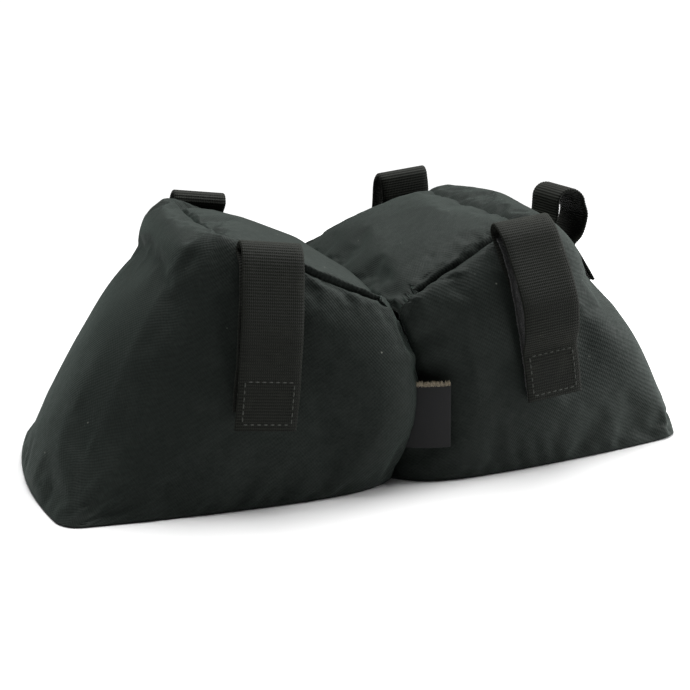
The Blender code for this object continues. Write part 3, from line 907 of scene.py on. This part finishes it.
def on_strip(lay, line, run_at, across, lift):
    """A point and its outward direction on a strip's outer face."""
    line = np.asarray(line)
    run, normal = run_along(line), line_normals(line)
    p = np.array([np.interp(run_at, run, line[:, k]) for k in range(2)])
    n = unit(np.array([np.interp(run_at, run, normal[:, k]) for k in range(2)]))
    spot = p + n * lift
    return lay.world(spot[0], spot[1], across), lay.out * n[0] + lay.up * n[1]


def box_stitch(lay, line, half, top, bottom, lift):
    """The line round a sewn box on a strip, as points and normals."""
    corners = [(-half, top), (half, top), (half, bottom), (-half, bottom), (-half, top)]
    runs = []
    for (a0, s0), (a1, s1) in zip(corners, corners[1:]):
        points, normals = [], []
        for t in np.linspace(0, 1, 12):
            spot, n = on_strip(lay, line, mix(s0, s1, t), mix(a0, a1, t), lift)
            points.append(spot)
            normals.append(n)
        runs.append((np.array(points), np.array(normals)))
    return runs


def pile_strip(name, lay, line, looks, seed):
    """The brushed pile tape: a strip whose outer face is tufted."""
    line = smooth_line(line, 0.6)
    section = cross_section(PILE_WIDTH, PILE, flats=36)
    piece = strip_from(name, lay, line, section, looks)
    points = np.zeros(len(piece.data.vertices) * 3)
    piece.data.vertices.foreach_get("co", points)
    points = points.reshape(-1, 3) / MM
    normals = np.zeros(len(points) * 3)
    piece.data.vertices.foreach_get("normal", normals)
    normals = normals.reshape(-1, 3)
    tuft = noise_field(points, 0.9, seed) * 0.35 + noise_field(points, 2.6, seed + 3) * 0.2
    points = points + normals * np.clip(tuft, -0.35, 0.35)[:, None]
    piece.data.vertices.foreach_set("co", (points * MM).ravel())
    piece.data.update()
    return piece


def strip_from(name, lay, line, section, looks):
    """A plain strip with a given section along a line."""
    line = np.asarray(line)
    normal, run = line_normals(line), run_along(line)
    points, uv = [], []
    for k in range(len(line)):
        for across, out in section:
            flat = line[k] + normal[k] * out
            points.append(lay.world(flat[0], flat[1], across))
            uv.append((across, run[k]))
    piece = mesh_object(name, points, tube_faces(len(line), len(section), (True, True)))
    fix_facing(piece)
    set_uv(piece, uv)
    piece.data.materials.append(looks)
    return piece


def webbing_line(down, flap, fold, swell, soft_fold):
    """One line of webbing: up the sewn strap, over the fold and down the flap."""
    if soft_fold:  # the fold opens straight into the swell of the flap
        out, below = swell[0]
        crown = [vec(-fold * 0.72, 2.1), vec(1.5, 3.3), vec((1.5 + out) / 2 + 0.7, (3.3 + below) / 2 + 1.9)]
        guides = [vec(-fold, -0.8), *crown, *[np.array(p, float) for p in swell], flap[-7]]
        over = resample(soft_line(guides), 2)
        flap = flap[-6:]
    else:
        radius = fold + (WEBBING + GAP) / 2
        over = [vec(-fold, 0)]
        for i in range(1, 8):
            a = math.pi * (1 - i / 8)
            grow = mix(fold, fold + WEBBING + GAP, i / 8)
            over.append(vec(grow * math.cos(a), radius * math.sin(a)))
    sewn = [p for p in down[::-1] if p[1] < over[0][1] - 1.5]
    return smooth_line([*sewn, *over, *flap], RIB / 6)


def make_loop(name, lay, side, fold, swell, cling, looks, bare=8.0, riser=None, seed=0.0):
    """One strap: sewn webbing and pile on the bag, a fold, and the flap with hooks and stitches."""
    web, pile_look, hook_look, thread = looks
    down, pile, hook, flap = loop_lines(lay, side, fold, swell, cling, bare, riser)
    lowest = flap[-1][1] + 1.2  # the sewn strap ends behind the flap
    down = [p for p in down if p[1] > lowest]
    if riser is None:  # the pile starts under the fold
        pile = shifted([p for p in down if p[1] < down[0][1] - 2], WEBBING / 2 + GAP + PILE / 2)
    pile = [p for p in pile if p[1] > lowest + 1]
    whole = webbing_line(down, flap, fold, swell, riser is None)
    run = run_along(whole)
    top = int(np.argmax(whole[:, 1]))
    low = -4.5 if riser is None else -5.0
    first = next(i for i in range(top, 0, -1) if whole[i][1] < low)
    last = next(i for i in range(top, len(whole)) if whole[i][1] < low - 1.0)

    flap_body = f"{name}_flap_body"
    line = whole[: first + 1]
    sewn = webbing_strip(f"{name}_sewn_webbing", lay, line, web, 0, (True, False), seed)
    line = whole[first : last + 1]
    bend = webbing_strip(f"{name}_fold", lay, line, web, run[first], (False, False), seed)
    line = whole[last:]
    free = webbing_strip(f"{name}_flap_webbing", lay, line, web, run[last], (False, True), seed)
    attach(sewn, "bag")
    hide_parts(f"{name}_pile_strap")
    start = lay.world(whole[first][0] + 0.6, 0, 0) * MM
    end = lay.world(whole[last][0] - 0.6, 0, 0) * MM
    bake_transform(bend)
    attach(free, flap_body)
    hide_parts(f"{name}_flap")

    soft = pile_strip(f"{name}_pile", lay, pile, pile_look, seed)
    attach(soft, "bag")
    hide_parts(f"{name}_pile_tape")
    section = cross_section(WEBBING_WIDTH - 1.4, HOOK - 0.1, flats=14)
    patch = strip_from(f"{name}_hooks", lay, smooth_line(hook, 1.0), section, hook_look)
    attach(patch, flap_body)
    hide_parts(f"{name}_hook_patch")

    length = run_along(line)[-1]
    box = box_stitch(lay, line, 10.0, length - 19.5, length - 2.5, WEBBING / 2 * 1.08)
    sewing = stitches(f"{name}_box_stitch", box, thread)
    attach(sewing, flap_body)


def side_lay(side, way, x, z, lean):
    lean = math.radians(lean)
    return Lay((side * x, way * 60.5, z), (0, way, 0), (-side * math.sin(lean), 0, math.cos(lean)))


def make_loops(looks):
    loops = (
        ("front_left", -1, -1, 50, 102.6, 8, ((9.5, -8), (15.4, -28)), 47),
        ("front_right", 1, -1, 60, 103.8, 6, ((12.5, -8), (22.5, -26), (23, -38)), 48),
        ("back_left", -1, 1, 50.5, 105.3, 8, ((10, -7), (16, -28)), 49),
        ("back_right", 1, 1, 55, 109.4, 6, ((11, -7), (20, -26), (20.5, -40)), 53),
    )
    for seed, (name, side, way, x, z, lean, swell, cling) in enumerate(loops):
        lay = side_lay(side, way, x, z, lean)
        make_loop(name, lay, side, 2.6, swell, cling, looks, seed=seed * 3.3 + 1)
    end = Lay((106, -8, 104), (1, 0, 0), (0, 0, 1))
    riser = [(-6.4, -7), (-8.0, -12)]
    make_loop("right_end", end, 1, 6.0, [(9.2, -6), (7.0, -14)], 22, looks, bare=17, riser=riser, seed=19)


# ---------------------------------------------------------------- label
def make_label(looks, fray):
    """A blank woven label sewn into the front waist seam, with a frayed upper edge."""
    lay = Lay((2, -68, 30), (0, -1, 0), (-1, 0, 0))
    lying = taut_over(lay, 1, LABEL_HEIGHT / 2 + 1, GAP + LABEL / 2 + 0.2)
    line = smooth_line(resample([p for p in lying if p[1] < -0.5], 4, LABEL_WIDTH), 0.6)
    section = cross_section(LABEL_HEIGHT, LABEL, flats=30)
    piece = strip_from("side_label_cloth", lay, line, section, looks)
    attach(piece, "bag")
    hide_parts("side_label")

    points, faces = [], []
    rng = np.random.default_rng(4)
    top = LABEL_HEIGHT / 2
    sign = 1 if lay.across[2] > 0 else -1
    for k in range(THREADS):
        at = k / (THREADS - 1) * (LABEL_WIDTH - 0.4)
        spot, n = on_strip(lay, line, at, sign * (top - 0.6 + rng.uniform(-0.5, 0.3)), 0.45)
        long = rng.uniform(1.2, 2.2)
        tilt = rng.uniform(-0.35, 0.35)
        way = unit(lay.across * sign - lay.up * tilt)
        side_way = np.cross(way, n)
        base = len(points)
        for s_along, girth in ((0, 0.16), (0.5, 0.15), (1, 0.05)):
            c = spot + way * s_along * long + n * (0.25 * math.sin(s_along * 3 + k))
            for j in range(4):
                a = math.pi / 2 * j
                points.append(c + side_way * math.cos(a) * girth + n * math.sin(a) * girth)
        for ring in (base, base + 4):
            for j in range(4):
                m = (j + 1) % 4
                faces.append([ring + j, ring + m, ring + 4 + m, ring + 4 + j])
        faces.append([base + j for j in range(4)][::-1])
        faces.append([base + 8 + j for j in range(4)])
    frayed = mesh_object("side_label_frayed_edge", points, faces)
    fix_facing(frayed)
    frayed.data.materials.append(fray)
    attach(frayed, "bag")


# ---------------------------------------------------------------- base and hidden pieces
def make_base(cloth):
    """The bottom panel: a flat plate with a slot for each zip."""
    right, left = [
        lobe_net(side, 1, (FRONT, CORNER, END), 0.0, EASE)[-1][:, :2] * (0.992 * side, 0.985)
        for side in (1, -1)
    ]
    outline = np.concatenate((right, left[::-1][1:-1]))
    curve = bpy.data.curves.new("base", "CURVE")
    curve.dimensions = "2D"
    curve.fill_mode = "BOTH"
    curve.extrude = 0.55 * MM
    curve.bevel_depth = 0.3 * MM
    curve.bevel_resolution = 2
    loops = [outline]
    for side in (-1, 1):
        low, high, y = side * ZIP_X - SLOT_REACH, side * ZIP_X + SLOT_REACH, SLOT_HALF_WIDTH
        loops.append(np.array([(low, -y), (high, -y), (high, y), (low, y)]))
    for loop in loops:
        spline = curve.splines.new("POLY")
        spline.points.add(len(loop) - 1)
        for point, (x, y) in zip(spline.points, loop):
            point.co = (x * MM, y * MM, 0, 1)
        spline.use_cyclic_u = True
    holder = bpy.data.objects.new("base_holder", curve)
    bpy.context.scene.collection.objects.link(holder)
    holder.location.z = 0.9 * MM
    bpy.context.view_layer.update()
    mesh = bpy.data.meshes.new_from_object(holder.evaluated_get(bpy.context.evaluated_depsgraph_get()))
    mesh.transform(holder.matrix_world)
    bpy.data.objects.remove(holder)
    piece = bpy.data.objects.new("base_panel_cloth", mesh)
    bpy.context.scene.collection.objects.link(piece)
    co = np.zeros(len(mesh.vertices) * 3)
    mesh.vertices.foreach_get("co", co)
    co = co.reshape(-1, 3) / MM
    while mesh.uv_layers:
        mesh.uv_layers.remove(mesh.uv_layers[0])
    set_uv(piece, co[:, :2])
    mesh.materials.clear()
    mesh.materials.append(cloth)
    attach(piece, "bag")
    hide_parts("base_panel")


def paint(node, looks):
    """Gives a CAD node that stays visible its own material."""
    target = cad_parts[node]
    target.data.materials.clear()
    target.data.materials.append(looks)


# ---------------------------------------------------------------- studio
def make_studio():
    bpy.ops.mesh.primitive_circle_add(vertices=96, radius=0.6, fill_type="NGON", location=(0, 0, 0))
    floor = bpy.context.object
    floor.name = "floor"
    floor.data.materials.append(floor_material())
    world = bpy.data.worlds.new("studio")
    bpy.context.scene.world = world
    world.use_nodes = True
    tree = world.node_tree
    background = tree.nodes["Background"]
    background.inputs[0].default_value = (1, 1, 1, 1)
    rays = tree.nodes.new("ShaderNodeLightPath")
    strength = tree.nodes.new("ShaderNodeMapRange")  # white to the camera, dimmer as light
    strength.inputs["To Min"].default_value = 0.09
    strength.inputs["To Max"].default_value = 1.1
    tree.links.new(rays.outputs["Is Camera Ray"], strength.inputs["Value"])
    tree.links.new(strength.outputs[0], background.inputs[1])
    for name, place, size, power in (
        ("overhead_softbox", (0.10, 0.26, 1.25), 1.1, 29.0),
        ("right_softbox", (1.25, -0.15, 0.6), 0.6, 24.0),
    ):
        data = bpy.data.lights.new(name, "AREA")
        data.size = size
        data.energy = power
        lamp = bpy.data.objects.new(name, data)
        bpy.context.scene.collection.objects.link(lamp)
        lamp.location = place
        lamp.rotation_mode = "QUATERNION"
        lamp.rotation_quaternion = (Vector((0, 0, 0.05)) - Vector(place)).to_track_quat("-Z", "Y")
    make_camera()
    bpy.context.scene.view_settings.view_transform = "Standard"


def make_camera():
    camera_data = bpy.data.cameras.new("camera")
    camera_data.sensor_width = 36
    camera_data.lens = 1236 / 690 * 36
    camera = bpy.data.objects.new("camera", camera_data)
    bpy.context.scene.collection.objects.link(camera)
    yaw, pitch, roll = math.radians(19), math.radians(15.9), math.radians(-1.1)
    ahead = Vector((math.sin(yaw) * math.cos(pitch), math.cos(yaw) * math.cos(pitch), -math.sin(pitch)))
    right = Vector((math.cos(yaw), -math.sin(yaw), 0))
    up = right.cross(ahead)
    right, up = right * math.cos(roll) + up * math.sin(roll), up * math.cos(roll) - right * math.sin(roll)
    turn = Matrix((right, up, -ahead)).transposed().to_4x4()
    camera.matrix_world = Matrix.Translation((-0.178, -0.522, 0.200)) @ turn
    bpy.context.scene.camera = camera


def main():
    cloth = cover_material()
    web = webbing_material()
    pile = fuzzy_material("pile_tape", (0.004, 0.0045, 0.0045), (0.022, 0.023, 0.023), 2200)
    hooks = fuzzy_material("hook_tape", (0.006, 0.006, 0.006), (0.02, 0.02, 0.02), 1500)
    thread = thread_material()
    make_cover(cloth)
    make_base(cloth)
    make_loops((web, pile, hooks, thread))
    fray = fuzzy_material("frayed_threads", (0.20, 0.16, 0.10), (0.42, 0.37, 0.27), 900)
    make_label(label_material(), fray)
    lining = plain_cloth_material("liner_cloth", (0.62, 0.60, 0.55), 0.0012)
    sand = sand_material()
    tape = plain_cloth_material("zip_tape", (0.012, 0.012, 0.013), 0.0007)
    metal = metal_material()
    paint("waist_divider", tape)
    for side in ("left", "right"):
        paint(f"{side}_liner", lining)
        paint(f"{side}_sand_fill", sand)
        paint(f"{side}_zip_tape_front", tape)
        paint(f"{side}_zip_tape_back", tape)
        paint(f"{side}_zip_slider", metal)
        paint(f"{side}_zip_pull", metal)
    make_studio()


main()
